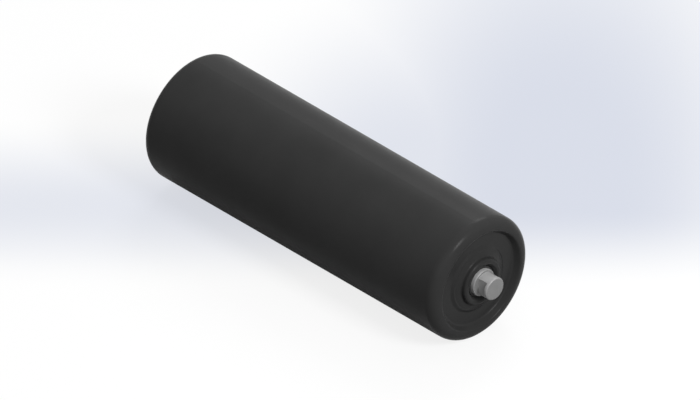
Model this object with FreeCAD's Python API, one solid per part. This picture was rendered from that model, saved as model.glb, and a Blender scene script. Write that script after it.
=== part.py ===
import FreeCAD, Part
import math
import os

# A conveyor roller: a thick-walled plastic tube on two ball bearings, turning about a fixed steel axle.
# Millimetres. The axle runs along X, the origin is at the roller's middle, and Z is up.
# The two ends are alike. Each piece is made for the right-hand end (+X) and turned about Z for the left.
# A depth is measured inwards from the tube's end face, so what stands proud of the tube has a negative depth.

# Tube
tube_outer_diameter = 139.7
tube_wall = 12.7
tube_length = 421.0
tube_end_round = 11.6
housing_seat_step = 0.85        # how much the bore is opened out to seat a bearing housing

# Axle
axle_end_diameter = 25.0
axle_end_proud = 19.7           # from the tube's end face to the axle's end
axle_shoulder_proud = 3.6       # the flats begin at this shoulder
axle_shoulder_chamfer = 0.6
axle_end_round = 1.5
flats_across = 16.0
collar_length = 3.7             # the round bit left outside the flats

# Ball bearing
bearing_bore = 30.0
bearing_outer_diameter = 62.0
bearing_width = 16.0
bearing_depth = 19.2            # from the tube's end face to the bearing
bearing_edge_round = 1.0
ball_diameter = 9.525
ball_count = 9
race_shoulder_height = 1.95
race_groove_ratio = 0.52        # groove radius as a share of the ball's diameter
ball_play = 0.03
cage_wall = 3.4
cage_width = 9.4
cage_web = 1.9                  # what is left of the cage behind each ball
cage_scallop_radius = 2.4       # of the cut between the prongs of two pockets
cage_pocket_play = 0.12

# Bearing housing
housing_depth = 47.2
skirt_wall = 3.6
recess_depth = 7.1
recess_mouth_spread = 2.0       # the sloping recess wall's mouth outside the skirt's inner radius
recess_floor_inset = 2.4        # the foot of that wall inside the same radius
recess_mouth_round = 2.2
recess_foot_round = 3.0
web_thickness = 5.0
hub_wall = 5.2
hub_depth = 45.2
boss_height = 2.0
boss_foot_spread = 1.5          # the boss's foot outside the hub's radius
boss_face_inset = 1.6           # its flat face's edge inside that radius
boss_foot_round = 2.6
boss_edge_round = 1.8
inside_round = 2.0
back_edge_round = 1.0
rib_count = 8
rib_thickness = 4.0
rib_depth_at_hub = 38.0
rib_depth_at_skirt = 30.0
rib_root = 1.0                  # how far a rib runs into the walls that it joins
bearing_stop_height = 4.0
bearing_stop_width = 2.5
seal_seat_wall = 7.0

# Dust cover
cover_flange_width = 2.2
cover_edge_round = 0.15
cover_wall = 1.5
cover_cone_rise = 2.0
cover_bead_width = 7.9
cover_bead_proud = 2.4
cover_bead_draft = 1.3          # how much wider the bead is at its foot
cover_bead_round = 2.9
cover_bead_foot_round = 2.2
cover_lip_spread = 3.0          # the bead slopes in to the axle: this much in radius
cover_lip_depth = 3.4           # and this deep
cover_lip_round = 1.4
cover_inner_round = 0.4

# Labyrinth
sleeve_wall = 2.4
labyrinth_gap = 1.0
labyrinth_web = 1.4
fin_count = 4                   # two on the rotor and two on the stator, one after the other
stator_nose_depth = 0.6
stator_nose_wall = 2.1
cover_hole_gap = 0.5

# Circlips
circlip_thickness = 1.5
circlip_groove_depth = 0.7
circlip_groove_play = 0.1
circlip_width = 3.3
circlip_offset = 0.5            # the ring is wider on the side away from its gap
circlip_gap_angle = 24.0
circlip_lug_radius = 2.3
circlip_hole_radius = 1.0
circlip_clearance = 0.7

# Inner lip seal
seal_width = 7.0
seal_wall = 1.6
seal_lip_thickness = 1.4
seal_lip_length = 3.6
seal_lip_gap = 0.3

# Sizes that follow from those above
centre = FreeCAD.Vector(0, 0, 0)
along = FreeCAD.Vector(1, 0, 0)
up = FreeCAD.Vector(0, 0, 1)
half_tube = tube_length / 2
tube_radius = tube_outer_diameter / 2
tube_bore_radius = tube_radius - tube_wall
seat_radius = tube_bore_radius + housing_seat_step
axle_radius = bearing_bore / 2
axle_end_radius = axle_end_diameter / 2
half_axle = half_tube + axle_end_proud
flats_end = half_axle - collar_length
flats_length = axle_end_proud - collar_length - axle_shoulder_proud
groove_bottom_radius = axle_radius - circlip_groove_depth
bearing_radius = bearing_outer_diameter / 2
bearing_back = bearing_depth + bearing_width
bearing_middle = bearing_depth + bearing_width / 2
ball_radius = ball_diameter / 2
pitch_radius = (axle_radius + bearing_radius) / 2
race_radius = race_groove_ratio * ball_diameter
outer_race_radius = pitch_radius + ball_radius + ball_play
inner_race_radius = pitch_radius - ball_radius - ball_play
hub_radius = bearing_radius + hub_wall
skirt_inner_radius = seat_radius - skirt_wall
web_back = recess_depth + web_thickness
boss_face = recess_depth - boss_height
cover_seat = boss_face + cover_wall
cover_radius = bearing_radius + cover_flange_width
nose_radius = axle_radius + stator_nose_wall
cover_hole_radius = nose_radius + cover_hole_gap
bead_radius = cover_hole_radius + cover_bead_width
bead_foot = boss_face - cover_cone_rise
rotor_bore_radius = bearing_radius - sleeve_wall
stator_sleeve_radius = axle_radius + sleeve_wall
fin_room = rotor_bore_radius - stator_sleeve_radius - (fin_count + 1) * labyrinth_gap
fin_thickness = fin_room / fin_count
fin_pitch = fin_thickness + labyrinth_gap
outer_circlip_depth = bearing_depth - circlip_thickness
rotor_web_back = outer_circlip_depth - circlip_clearance
rotor_web_front = rotor_web_back - labyrinth_web
stator_flange_front = cover_seat - labyrinth_gap / 2
stator_flange_back = stator_flange_front + labyrinth_web
stop_back = bearing_back + bearing_stop_width
seal_seat_radius = hub_radius - seal_seat_wall


def turned(corners):
    """Turn a closed outline about the axle. A corner is (depth, radius, rounding)."""
    points = [FreeCAD.Vector(half_tube - depth, 0, radius) for depth, radius, rounding in corners]
    ends = []
    arcs = []
    for number, corner in enumerate(corners):
        point = points[number]
        rounding = corner[2]
        if rounding == 0:
            ends.append((point, point))
            arcs.append(None)
            continue
        back = (points[number - 1] - point).normalize()
        ahead = (points[(number + 1) % len(points)] - point).normalize()
        half_angle = back.getAngle(ahead) / 2
        reach = rounding / math.tan(half_angle)
        inwards = (back + ahead).normalize()
        middle = point + inwards * (rounding / math.sin(half_angle) - rounding)
        ends.append((point + back * reach, point + ahead * reach))
        arcs.append(Part.Arc(ends[-1][0], middle, ends[-1][1]).toShape())
    edges = []
    for number, arc in enumerate(arcs):
        if arc is not None:
            edges.append(arc)
        start = ends[number][1]
        finish = ends[(number + 1) % len(ends)][0]
        if start.distanceToPoint(finish) > Part.Precision.confusion():
            edges.append(Part.LineSegment(start, finish).toShape())
    return Part.Face(Part.Wire(edges)).revolve(centre, along, 360)


def on_ring(radius, angle):
    """The point at a radius and an angle about the axle, in the plane of the bearing's middle."""
    turn = math.radians(angle)
    return FreeCAD.Vector(half_tube - bearing_middle, -radius * math.sin(turn), radius * math.cos(turn))


def both_ends(depth):
    """A depth at the right-hand end, and the matching depth at the left-hand end."""
    return depth, tube_length - depth


def tube():
    left_seat, right_seat = tube_length - housing_depth, housing_depth
    return turned([
        (0, seat_radius, 0),
        (0, tube_radius, tube_end_round),
        (tube_length, tube_radius, tube_end_round),
        (tube_length, seat_radius, 0),
        (left_seat, seat_radius, 0),
        (left_seat, tube_bore_radius, 0),
        (right_seat, tube_bore_radius, 0),
        (right_seat, seat_radius, 0),
    ])


def axle():
    end_near, end_far = both_ends(-axle_end_proud)
    shoulder_near, shoulder_far = both_ends(-axle_shoulder_proud)
    taper_near, taper_far = both_ends(axle_shoulder_chamfer - axle_shoulder_proud)
    taper_radius = axle_radius - axle_shoulder_chamfer
    bar = turned([
        (end_near, 0, 0),
        (end_near, axle_end_radius, axle_end_round),
        (shoulder_near, axle_end_radius, 0),
        (shoulder_near, taper_radius, 0),
        (taper_near, axle_radius, 0),
        (taper_far, axle_radius, 0),
        (shoulder_far, taper_radius, 0),
        (shoulder_far, axle_end_radius, 0),
        (end_far, axle_end_radius, axle_end_round),
        (end_far, 0, 0),
    ])
    flat_depth = axle_radius
    for side in (-1, 1):
        low_x = min(side * flats_end, side * (flats_end - flats_length))
        for face in (-1, 1):
            low_y = min(face * flats_across / 2, face * (flats_across / 2 + flat_depth))
            corner = FreeCAD.Vector(low_x, low_y, -axle_radius)
            bar = bar.cut(Part.makeBox(flats_length, flat_depth, 2 * axle_radius, corner))
        for groove in (axle_groove(outer_circlip_depth - circlip_groove_play),
                       axle_groove(bearing_back)):
            bar = bar.cut(turned_end(groove, side))
    return bar


def axle_groove(depth):
    width = circlip_thickness + circlip_groove_play
    proud = axle_radius + circlip_groove_depth
    return turned([
        (depth, groove_bottom_radius, 0),
        (depth, proud, 0),
        (depth + width, proud, 0),
        (depth + width, groove_bottom_radius, 0),
    ])


def bearing_housing():
    body = turned([
        (0, seat_radius, 0),
        (housing_depth, seat_radius, 0),
        (housing_depth, skirt_inner_radius, back_edge_round),
        (web_back, skirt_inner_radius, inside_round),
        (web_back, hub_radius, inside_round),
        (hub_depth, hub_radius, back_edge_round),
        (hub_depth, seal_seat_radius, 0),
        (stop_back, seal_seat_radius, 0),
        (stop_back, bearing_radius - bearing_stop_height, 0),
        (bearing_back, bearing_radius - bearing_stop_height, 0),
        (bearing_back, bearing_radius, 0),
        (cover_seat, bearing_radius, 0),
        (cover_seat, cover_radius, 0),
        (boss_face, cover_radius, 0),
        (boss_face, hub_radius - boss_face_inset, boss_edge_round),
        (recess_depth, hub_radius + boss_foot_spread, boss_foot_round),
        (recess_depth, skirt_inner_radius - recess_floor_inset, recess_foot_round),
        (0, skirt_inner_radius + recess_mouth_spread, recess_mouth_round),
    ])
    for number in range(rib_count):
        rib = housing_rib()
        rib.rotate(centre, along, number * 360 / rib_count)
        body = body.fuse(rib)
    return body.removeSplitter()


def housing_rib():
    """A rib behind the web, from the hub to the skirt, deeper at the hub."""
    root = web_back - rib_root
    low = hub_radius - rib_root
    high = skirt_inner_radius + rib_root
    side = -rib_thickness / 2
    outline = [
        FreeCAD.Vector(half_tube - depth, side, radius)
        for depth, radius in ((root, low), (rib_depth_at_hub, low), (rib_depth_at_skirt, high), (root, high))
    ]
    face = Part.Face(Part.makePolygon(outline + outline[:1]))
    return face.extrude(FreeCAD.Vector(0, rib_thickness, 0))


def bearing_outer_ring():
    ring = turned([
        (bearing_depth, outer_race_radius - race_shoulder_height, 0),
        (bearing_depth, bearing_radius, bearing_edge_round),
        (bearing_back, bearing_radius, bearing_edge_round),
        (bearing_back, outer_race_radius - race_shoulder_height, 0),
    ])
    return ring.cut(race_groove(outer_race_radius - race_radius))


def bearing_inner_ring():
    ring = turned([
        (bearing_depth, axle_radius, 0),
        (bearing_depth, inner_race_radius + race_shoulder_height, 0),
        (bearing_back, inner_race_radius + race_shoulder_height, 0),
        (bearing_back, axle_radius, 0),
    ])
    return ring.cut(race_groove(inner_race_radius + race_radius))


def race_groove(radius):
    return Part.makeTorus(radius, race_radius, on_ring(0, 0), along)


def ball_angles():
    return [number * 360 / ball_count for number in range(ball_count)]


def bearing_balls():
    balls = [Part.makeSphere(ball_radius, on_ring(pitch_radius, angle)) for angle in ball_angles()]
    return Part.makeCompound(balls)


def bearing_cage():
    """A snap cage: its pockets are open on the outboard side, and a web joins it on the inboard side."""
    cage_back = bearing_middle + ball_radius + cage_web
    cage_front = cage_back - cage_width
    ring = turned([
        (cage_front, pitch_radius - cage_wall / 2, 0),
        (cage_front, pitch_radius + cage_wall / 2, 0),
        (cage_back, pitch_radius + cage_wall / 2, 0),
        (cage_back, pitch_radius - cage_wall / 2, 0),
    ])
    pocket = Part.makeSphere(ball_radius + cage_pocket_play, on_ring(pitch_radius, 0))
    scallop_foot = on_ring(pitch_radius - cage_wall, 0) + along * (bearing_middle - cage_front)
    scallop = Part.makeCylinder(cage_scallop_radius, 2 * cage_wall, scallop_foot, up)
    half_pitch = 180 / ball_count
    pockets = [pocket.rotated(centre, along, angle) for angle in ball_angles()]
    scallops = [scallop.rotated(centre, along, angle + half_pitch) for angle in ball_angles()]
    return ring.cut(pockets + scallops)


def dust_cover():
    """A shallow cone with a raised bead that slopes in to the axle, hollow behind the bead."""
    bead_top = -cover_bead_proud
    bead_back = bead_top + cover_wall
    lip_end = bead_top + cover_lip_depth
    lip_slope = cover_lip_spread / cover_lip_depth
    lip_outer = cover_hole_radius + cover_wall
    hollow_radius = lip_outer + lip_slope * (lip_end - bead_back)
    bead_wall_outer = bead_radius - cover_wall
    bead_foot_radius = bead_radius + cover_bead_draft
    cone_back = bead_foot + cover_wall
    step_radius = rotor_bore_radius
    step_share = (cover_radius - step_radius) / (cover_radius - bead_foot_radius)
    step_back = boss_face + cover_wall - cover_cone_rise * step_share
    return turned([
        (cover_seat, cover_radius, 0),
        (boss_face, cover_radius, cover_edge_round),
        (bead_foot, bead_foot_radius, cover_bead_foot_round),
        (bead_top, bead_radius, cover_bead_round),
        (bead_top, cover_hole_radius + cover_lip_spread, cover_lip_round),
        (lip_end, cover_hole_radius, cover_inner_round),
        (cone_back, cover_hole_radius, 0),
        (cone_back, lip_outer, 0),
        (lip_end, lip_outer, cover_inner_round),
        (bead_back, hollow_radius, cover_inner_round),
        (bead_back, bead_wall_outer, cover_inner_round),
        (cone_back, bead_wall_outer, 0),
        (step_back, step_radius, 0),
        (cover_seat, step_radius, 0),
    ])


def labyrinth_stator():
    """Held on the axle: a nose, a flange and two fins that run into the rotor's channels."""
    fin_back = rotor_web_front - labyrinth_gap
    first = stator_sleeve_radius + labyrinth_gap + fin_pitch
    second = first + 2 * fin_pitch
    return turned([
        (stator_nose_depth, axle_radius, 0),
        (stator_nose_depth, nose_radius, cover_inner_round),
        (stator_flange_front, nose_radius, 0),
        (stator_flange_front, second + fin_thickness, 0),
        (fin_back, second + fin_thickness, 0),
        (fin_back, second, 0),
        (stator_flange_back, second, 0),
        (stator_flange_back, first + fin_thickness, 0),
        (fin_back, first + fin_thickness, 0),
        (fin_back, first, 0),
        (stator_flange_back, first, 0),
        (stator_flange_back, stator_sleeve_radius, 0),
        (outer_circlip_depth, stator_sleeve_radius, 0),
        (outer_circlip_depth, axle_radius, 0),
    ])


def labyrinth_rotor():
    """Held in the housing: a sleeve that presses on the bearing, a web and two fins."""
    fin_front = stator_flange_back + labyrinth_gap
    first = stator_sleeve_radius + labyrinth_gap
    second = first + 2 * fin_pitch
    return turned([
        (cover_seat, rotor_bore_radius, 0),
        (cover_seat, bearing_radius, 0),
        (bearing_depth, bearing_radius, 0),
        (bearing_depth, rotor_bore_radius, 0),
        (rotor_web_back, rotor_bore_radius, 0),
        (rotor_web_back, first, 0),
        (fin_front, first, 0),
        (fin_front, first + fin_thickness, 0),
        (rotor_web_front, first + fin_thickness, 0),
        (rotor_web_front, second, 0),
        (fin_front, second, 0),
        (fin_front, second + fin_thickness, 0),
        (rotor_web_front, second + fin_thickness, 0),
        (rotor_web_front, rotor_bore_radius, 0),
    ])


def inner_seal():
    """A pressed ring with a lip that runs close to the axle, on the bearing's inboard side."""
    seal_back = stop_back + seal_width
    lip_radius = axle_radius + seal_lip_gap
    lip_end = stop_back + seal_wall + seal_lip_length
    lip_root = lip_radius + seal_lip_length
    return turned([
        (stop_back, lip_root, 0),
        (stop_back, seal_seat_radius, 0),
        (seal_back, seal_seat_radius, 0),
        (seal_back, seal_seat_radius - seal_wall, 0),
        (stop_back + seal_wall, seal_seat_radius - seal_wall, 0),
        (stop_back + seal_wall, lip_root + seal_lip_thickness, 0),
        (lip_end, lip_radius + seal_lip_thickness, 0),
        (lip_end, lip_radius, 0),
    ])


def circlip(depth):
    """An open spring ring in the axle's groove, with an eyed lug each side of its gap."""
    middle = FreeCAD.Vector(half_tube - depth - circlip_thickness, 0, 0)
    outer_radius = groove_bottom_radius + circlip_width
    lug_ring_radius = groove_bottom_radius + circlip_lug_radius
    ring = Part.makeCylinder(outer_radius, circlip_thickness, middle - up * circlip_offset, along)
    half_gap = circlip_gap_angle / 2
    gap_slope = math.tan(math.radians(half_gap))
    lug_angle = half_gap + math.degrees(circlip_lug_radius / lug_ring_radius)
    eyes = []
    for angle in (-lug_angle, lug_angle):
        turn = math.radians(angle)
        spot = middle + FreeCAD.Vector(0, lug_ring_radius * math.sin(turn), lug_ring_radius * math.cos(turn))
        ring = ring.fuse(Part.makeCylinder(circlip_lug_radius, circlip_thickness, spot, along))
        eyes.append(Part.makeCylinder(circlip_hole_radius, circlip_thickness, spot, along))
    ring = ring.cut(Part.makeCylinder(groove_bottom_radius, circlip_thickness, middle, along))
    gap_reach = 2 * outer_radius
    gap = Part.Face(Part.makePolygon([
        middle,
        middle + gap_reach * FreeCAD.Vector(0, -gap_slope, 1),
        middle + gap_reach * FreeCAD.Vector(0, gap_slope, 1),
        middle,
    ])).extrude(along * circlip_thickness)
    return ring.cut([gap] + eyes)


def turned_end(shape, side):
    """A right-hand piece as it is for +1, or turned half round about Z for -1."""
    moved = shape.copy()
    if side < 0:
        moved.rotate(centre, up, 180)
    return moved


def end_pieces():
    return {
        "bearing_housing": bearing_housing(),
        "bearing_outer_ring": bearing_outer_ring(),
        "bearing_inner_ring": bearing_inner_ring(),
        "bearing_balls": bearing_balls(),
        "bearing_cage": bearing_cage(),
        "dust_cover": dust_cover(),
        "labyrinth_stator": labyrinth_stator(),
        "labyrinth_rotor": labyrinth_rotor(),
        "inner_seal": inner_seal(),
        "outer_circlip": circlip(outer_circlip_depth),
        "inner_circlip": circlip(bearing_back),
    }


def main():
    os.makedirs("parts", exist_ok=True)
    tube().exportStep("parts/tube.step")
    axle().exportStep("parts/axle.step")
    pieces = end_pieces()
    for side_name, side in (("right", 1), ("left", -1)):
        for name, shape in pieces.items():
            turned_end(shape, side).exportStep(f"parts/{side_name}_{name}.step")


main()
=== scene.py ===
import math

import bpy
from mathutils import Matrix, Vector


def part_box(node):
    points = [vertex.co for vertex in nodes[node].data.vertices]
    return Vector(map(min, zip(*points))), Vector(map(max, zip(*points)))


# A conveyor roller lying on a pale floor: a black plastic tube and end caps on a bright steel axle.
# Metres, in the model's own frame: the axle runs along X and the origin is at the roller's middle.

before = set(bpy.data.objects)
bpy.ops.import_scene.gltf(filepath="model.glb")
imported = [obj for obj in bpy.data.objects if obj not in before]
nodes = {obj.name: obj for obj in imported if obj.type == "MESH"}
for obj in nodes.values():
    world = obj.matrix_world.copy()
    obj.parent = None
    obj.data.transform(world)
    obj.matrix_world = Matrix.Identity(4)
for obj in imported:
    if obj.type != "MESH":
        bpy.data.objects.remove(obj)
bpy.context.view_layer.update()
tube_low, tube_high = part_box("tube")
tube_radius = tube_high.z

# The photograph's frame: parallel lines stay parallel, so the view is orthographic.
image_width_px = 700
image_height_px = 400
tube_width_px = 137.1             # the tube's diameter in the photograph
roller_middle_px = (335.6, 197.15)
camera_azimuth = math.radians(45)
camera_elevation = math.radians(35.264)
camera_distance = 3.0

# Lamps as (name, direction from the roller, size, level).
# The level is the irradiance over pi on a surface that faces the lamp.
lamps = (
    ("near_lamp", (0.78, -0.04, 0.63), 1.1, 0.75),
    ("back_lamp", (-0.35, 0.66, 0.66), 1.6, 0.28),
    ("high_lamp", (-0.2, 0.45, 0.87), 3.1, 0.15),
    ("top_lamp", (0.1, -0.15, 1.0), 2.7, 0.04),
    ("far_lamp", (-0.75, -0.3, 0.6), 2.7, 0.08),
    ("front_lamp", (0.6, -0.6, 0.53), 2.7, 0.08),
)
lamp_distance = 4.0
sky_level = 0.27

# Floor: near white, with a blue-grey haze across it, as far as it is seen directly
floor_size = 40.0
floor_white = (0.97, 0.97, 0.97)
floor_haze = (0.67, 0.70, 0.785)
floor_bounce_color = (0.2, 0.2, 0.2)
floor_mirrored_color = (0.82, 0.82, 0.82)   # the lamps make this white
floor_glow = 0.85                 # the share of its tone that the roller's shadow leaves
floor_lit_share = 0.17

# Ovals of haze as (middle, reach, amount), in metres to the camera's right and away from it
haze_ovals = (
    ((0.23, 0.13), (0.3, 0.71), 1.0),
    ((0.087, 0.11), (0.265, 0.41), 0.8),
    ((-0.25, 0.05), (1.8, 0.195), 0.7),
)
haze_front_edge = (-0.07, 0.08)
haze_full_from = 0.8              # the share of an oval's fade at which it is at its full amount

# Noise: the values between which it mostly lies, and its scales as waves in a metre
noise_reach = (0.3, 0.7)
cloud_scale = 18.0
handling_scale = 60.0
steel_tone_scale = 90.0
hidden_tone_scale = 400.0
turning_scale = 4200.0

# Finishes, and the painted shade on the axle's faces
plastic_sheen_spread = 0.02       # how far the roughness varies to either side
steel_sheen_spread = 0.05
turning_height = 0.000004
turning_stretch = (1, 0.02, 0.02)   # the rings run round the axle
axle_painted_shade_leans = (0.2, 0.9)           # a normal's part along X, from where a side ends to where a face begins: the faces take painted shade
tube_leans = (0.02, 0.2)          # the same for the tube, whose rounded ends are a little polished by handling
hidden_dark_share = 0.85


def node_tree(name):
    """A new material with an empty tree, its output and a principled shader."""
    material = bpy.data.materials.new(name)
    material.use_nodes = True
    tree = material.node_tree
    tree.nodes.clear()
    output = tree.nodes.new("ShaderNodeOutputMaterial")
    shader = tree.nodes.new("ShaderNodeBsdfPrincipled")
    tree.links.new(shader.outputs["BSDF"], output.inputs["Surface"])
    return material, tree, shader


def add(tree, kind, **values):
    """A node with its inputs or properties set by name."""
    node = tree.nodes.new(kind)
    for name, value in values.items():
        label = name.replace("_", " ").title()
        if label in node.inputs:
            node.inputs[label].default_value = value
        else:
            setattr(node, name, value)
    return node


def grey(tone):
    return (tone, tone, tone)


def object_place(tree, stretch=(1, 1, 1)):
    """Object coordinates, stretched along each axis."""
    place = add(tree, "ShaderNodeTexCoord")
    mapping = add(tree, "ShaderNodeMapping", Scale=stretch)
    tree.links.new(place.outputs["Object"], mapping.inputs["Vector"])
    return mapping.outputs["Vector"]


def noise(tree, place, scale, detail=3.0, roughness=0.5):
    """Noise between 0 and 1, with this many waves in a metre."""
    node = add(tree, "ShaderNodeTexNoise", scale=scale, detail=detail, roughness=roughness)
    tree.links.new(place, node.inputs["Vector"])
    return node.outputs["Fac"]


def ranged(tree, value, low, high, start, stop, smooth=False):
    """A value between start and stop, carried over to low and high."""
    node = add(tree, "ShaderNodeMapRange")
    if smooth:
        node.interpolation_type = "SMOOTHSTEP"
    for name, number in (("From Min", start), ("From Max", stop), ("To Min", low), ("To Max", high)):
        node.inputs[name].default_value = number
    tree.links.new(value, node.inputs["Value"])
    return node.outputs["Result"]


def blended(tree, value, first, second):
    """Two colours, each a tuple or a socket, mixed by a value."""
    node = add(tree, "ShaderNodeMix", data_type="RGBA")
    factor, first_slot, second_slot, result = 0, 6, 7, 2   # the mix node's colour sockets
    tree.links.new(value, node.inputs[factor])
    for slot, color in ((first_slot, first), (second_slot, second)):
        if isinstance(color, tuple):
            node.inputs[slot].default_value = (*color, 1)
        else:
            tree.links.new(color, node.inputs[slot])
    return node.outputs[result]


def combined(tree, operation, first, *others):
    """Values joined one after another by the same operation."""
    result = first
    for other in others:
        step = add(tree, "ShaderNodeMath", operation=operation)
        tree.links.new(result, step.inputs[0])
        tree.links.new(other, step.inputs[1])
        result = step.outputs[0]
    return result


def bumped(tree, shader, height, distance):
    """A bump on the shader, this high where the height is 1."""
    node = add(tree, "ShaderNodeBump", strength=1.0, distance=distance)
    tree.links.new(height, node.inputs["Height"])
    tree.links.new(node.outputs["Normal"], shader.inputs["Normal"])


def varied(tree, value, middle, spread):
    """A number that follows the noise, up to this spread to either side of its middle."""
    return ranged(tree, value, middle - spread, middle + spread, *noise_reach)


def across_axle(tree, side_lean, face_lean, amount=1.0):
    """Nothing on a side round the axle, this amount on a face across it, by how far the normal leans along it."""
    surface = add(tree, "ShaderNodeNewGeometry")
    parts = add(tree, "ShaderNodeSeparateXYZ")
    tree.links.new(surface.outputs["Normal"], parts.inputs["Vector"])
    lean = add(tree, "ShaderNodeMath", operation="ABSOLUTE")
    tree.links.new(parts.outputs["X"], lean.inputs[0])
    return ranged(tree, lean.outputs[0], 0.0, amount, side_lean, face_lean)


def plastic(name, dark, light, grain_scale, grain_height, roughness, ior, stretch=(1, 1, 1), end_polish=0.0):
    """Black plastic: a faint clouding, a fine grain, a sheen that varies with handling, and polished ends."""
    material, tree, shader = node_tree(name)
    cloud = ranged(tree, noise(tree, object_place(tree), cloud_scale, detail=4.0), 0.0, 1.0, *noise_reach)
    tree.links.new(blended(tree, cloud, grey(dark), grey(light)), shader.inputs["Base Color"])
    place = object_place(tree, stretch)
    rubbed = noise(tree, place, handling_scale, detail=5.0, roughness=0.6)
    rough = varied(tree, rubbed, roughness, plastic_sheen_spread)
    if end_polish:
        rough = combined(tree, "SUBTRACT", rough, across_axle(tree, *tube_leans, end_polish))
    tree.links.new(rough, shader.inputs["Roughness"])
    bumped(tree, shader, noise(tree, place, grain_scale, detail=2.0), grain_height)
    shader.inputs["IOR"].default_value = ior
    return material


def turned_steel(name, painted_light_side_tones, painted_shade_face_tones, roughness, metallic):
    """Satin bar steel: fine turning rings round the axle, an uneven tone, and painted shade: faces across it
    darker, sides lighter.
    """
    material, tree, shader = node_tree(name)
    shader.inputs["Metallic"].default_value = metallic
    tone = ranged(tree, noise(tree, object_place(tree), steel_tone_scale, detail=4.0), 0.0, 1.0, *noise_reach)
    side, face = (blended(tree, tone, *map(grey, tones)) for tones in (painted_light_side_tones, painted_shade_face_tones))
    # Painted shade: faces across the axle take the darker tones and the sides the lighter ones, by the normal's
    # lean.
    tree.links.new(blended(tree, across_axle(tree, *axle_painted_shade_leans), side, face), shader.inputs["Base Color"])
    rings = noise(tree, object_place(tree, turning_stretch), turning_scale, detail=2.0)
    tree.links.new(varied(tree, rings, roughness, steel_sheen_spread), shader.inputs["Roughness"])
    bumped(tree, shader, rings, turning_height)
    return material


def plain(name, color, roughness, metallic=0.0):
    """A hidden piece's finish, with a slight change of tone."""
    material, tree, shader = node_tree(name)
    shader.inputs["Metallic"].default_value = metallic
    darker = tuple(hidden_dark_share * part for part in color)
    tone = ranged(tree, noise(tree, object_place(tree), hidden_tone_scale), 0.0, 1.0, *noise_reach)
    tree.links.new(blended(tree, tone, darker, color), shader.inputs["Base Color"])
    shader.inputs["Roughness"].default_value = roughness
    return material


def dress(material, *names):
    """Puts the material on these pieces. A name without its end stands for the left and the right one."""
    for name in names:
        ends = ("",) if name in nodes else ("left_", "right_")
        for end in ends:
            mesh = nodes[end + name].data
            mesh.materials.clear()
            mesh.materials.append(material)


def dress_all():
    extruded = plastic("extruded_plastic", dark=0.033, light=0.038, grain_scale=900.0, grain_height=0.000008,
                       roughness=0.34, ior=1.11, stretch=(1, 0.5, 0.5), end_polish=0.09)
    moulded = plastic("moulded_plastic", dark=0.0255, light=0.0295, grain_scale=2400.0, grain_height=0.000015,
                      roughness=0.31, ior=1.15)
    nylon = plastic("moulded_nylon", dark=0.034, light=0.038, grain_scale=2400.0, grain_height=0.000015,
                    roughness=0.45, ior=1.12)
    # The axle's face tones are painted shade and its side tones painted light.
    bar = turned_steel("bar_steel", painted_light_side_tones=(0.41, 0.44), painted_shade_face_tones=(0.19, 0.21), roughness=0.5, metallic=0.1)
    dress(extruded, "tube")
    dress(moulded, "bearing_housing", "dust_cover")
    dress(nylon, "labyrinth_stator", "labyrinth_rotor")
    dress(bar, "axle")
    dress(plain("bearing_steel", color=(0.55, 0.55, 0.56), roughness=0.2, metallic=1.0),
          "bearing_outer_ring", "bearing_inner_ring", "bearing_balls")
    dress(plain("glass_filled_nylon", color=(0.55, 0.47, 0.33), roughness=0.5), "bearing_cage")
    dress(plain("seal_rubber", color=(0.02, 0.02, 0.02), roughness=0.6), "inner_seal")
    dress(plain("spring_steel", color=(0.05, 0.05, 0.055), roughness=0.45, metallic=0.6),
          "outer_circlip", "inner_circlip")


def camera():
    """The photograph's view of the roller, at the photograph's scale and place in the picture."""
    data = bpy.data.cameras.new("camera")
    data.type = "ORTHO"
    metres_per_px = 2 * tube_radius / tube_width_px
    data.ortho_scale = image_width_px * metres_per_px
    data.clip_end = 2 * camera_distance + floor_size
    item = bpy.data.objects.new("camera", data)
    bpy.context.scene.collection.objects.link(item)
    across, away = math.sin(camera_azimuth), math.cos(camera_azimuth)
    flat, rise = math.cos(camera_elevation), math.sin(camera_elevation)
    back = Vector((across * flat, -away * flat, rise))
    right = Vector((away, across, 0))
    above = back.cross(right)
    offset_right = (image_width_px / 2 - roller_middle_px[0]) * metres_per_px
    offset_above = (roller_middle_px[1] - image_height_px / 2) * metres_per_px
    target = right * offset_right + above * offset_above
    item.location = target + back * camera_distance
    item.rotation_mode = "QUATERNION"
    item.rotation_quaternion = (-back).to_track_quat("-Z", "Y")
    bpy.context.scene.camera = item


def lamp(name, direction, size, level):
    """A square soft lamp that faces the roller and gives it this level from this direction."""
    data = bpy.data.lights.new(name, "AREA")
    data.shape = "SQUARE"
    data.size = size
    data.energy = level * (math.pi * lamp_distance) ** 2
    item = bpy.data.objects.new(name, data)
    bpy.context.scene.collection.objects.link(item)
    towards = Vector(direction).normalized()
    item.location = towards * lamp_distance
    item.rotation_mode = "QUATERNION"
    item.rotation_quaternion = towards.to_track_quat("Z", "Y")


def seen_by(tree, *kinds):
    """1 for rays of any of these kinds."""
    path = add(tree, "ShaderNodeLightPath")
    return combined(tree, "MAXIMUM", *(path.outputs[kind] for kind in kinds))


def sky():
    """A white sky where it is seen or mirrored, and an even, weaker light on everything."""
    world = bpy.data.worlds.new("sky")
    world.use_nodes = True
    tree = world.node_tree
    tree.nodes.clear()
    output = tree.nodes.new("ShaderNodeOutputWorld")
    background = tree.nodes.new("ShaderNodeBackground")
    seen = seen_by(tree, "Is Camera Ray", "Is Glossy Ray", "Is Transmission Ray")
    tree.links.new(blended(tree, seen, grey(sky_level), grey(1)), background.inputs["Color"])
    tree.links.new(background.outputs["Background"], output.inputs["Surface"])
    bpy.context.scene.world = world


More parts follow.
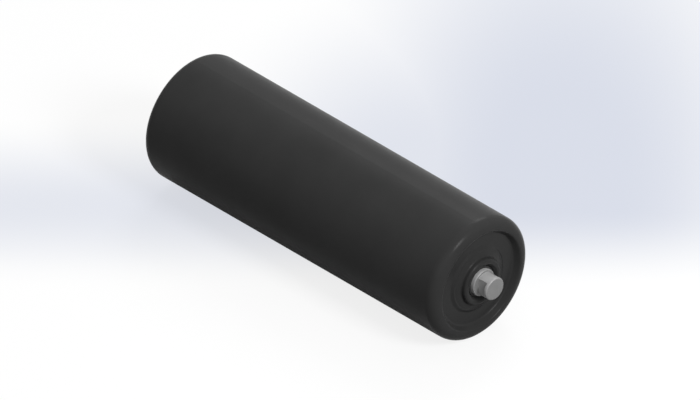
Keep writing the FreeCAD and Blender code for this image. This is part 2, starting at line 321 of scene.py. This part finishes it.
def oval(tree, place, middle, reach, amount):
    """A soft oval on the floor: this amount at its middle, nothing beyond its reach."""
    mapping = add(tree, "ShaderNodeMapping", vector_type="TEXTURE")
    mapping.inputs["Location"].default_value = (*middle, 0)
    mapping.inputs["Scale"].default_value = (*reach, 1)
    tree.links.new(place, mapping.inputs["Vector"])
    fade = add(tree, "ShaderNodeTexGradient", gradient_type="SPHERICAL")
    tree.links.new(mapping.outputs["Vector"], fade.inputs["Vector"])
    return ranged(tree, fade.outputs["Fac"], 0.0, amount, 0.0, haze_full_from, smooth=True)


def haze(tree):
    """How much of the haze lies on each spot of the floor, in the camera's right and away directions."""
    turned = add(tree, "ShaderNodeMapping")
    turned.inputs["Rotation"].default_value = (0, 0, -camera_azimuth)
    place = add(tree, "ShaderNodeTexCoord")
    tree.links.new(place.outputs["Object"], turned.inputs["Vector"])
    first, *others = (oval(tree, turned.outputs["Vector"], *values) for values in haze_ovals)
    amount = combined(tree, "MAXIMUM", first, *others)
    parts = add(tree, "ShaderNodeSeparateXYZ")
    tree.links.new(turned.outputs["Vector"], parts.inputs["Vector"])
    front_edge = ranged(tree, parts.outputs["Y"], 0.0, 1.0, *haze_front_edge, smooth=True)
    return combined(tree, "MULTIPLY", amount, front_edge)


def floor():
    """The floor under the roller: hazy and with a faint shadow where it is seen, white where it is mirrored."""
    half = floor_size / 2
    under = tube_low.z
    mesh = bpy.data.meshes.new("floor")
    corners = [(-half, -half, under), (half, -half, under), (half, half, under), (-half, half, under)]
    mesh.from_pydata(corners, [], [(0, 1, 2, 3)])
    item = bpy.data.objects.new("floor", mesh)
    bpy.context.scene.collection.objects.link(item)
    material, tree, shader = node_tree("floor")
    shader.inputs["Roughness"].default_value = 1.0
    shader.inputs["Specular IOR Level"].default_value = 0.0
    seen = seen_by(tree, "Is Camera Ray")
    mirrored = seen_by(tree, "Is Glossy Ray", "Is Transmission Ray")
    hazy = haze(tree)
    tree.links.new(blended(tree, hazy, floor_white, floor_haze), shader.inputs["Emission Color"])
    tree.links.new(ranged(tree, seen, 0.0, floor_glow, 0.0, 1.0), shader.inputs["Emission Strength"])
    lit_white = tuple(floor_lit_share * part for part in floor_white)
    lit_haze = tuple(floor_lit_share * part for part in floor_haze)
    lit = blended(tree, hazy, lit_white, lit_haze)
    unseen = blended(tree, mirrored, floor_bounce_color, floor_mirrored_color)
    tree.links.new(blended(tree, seen, unseen, lit), shader.inputs["Base Color"])
    mesh.materials.append(material)


bpy.context.scene.view_settings.view_transform = "Standard"
dress_all()
camera()
floor()
sky()
for values in lamps:
    lamp(*values)
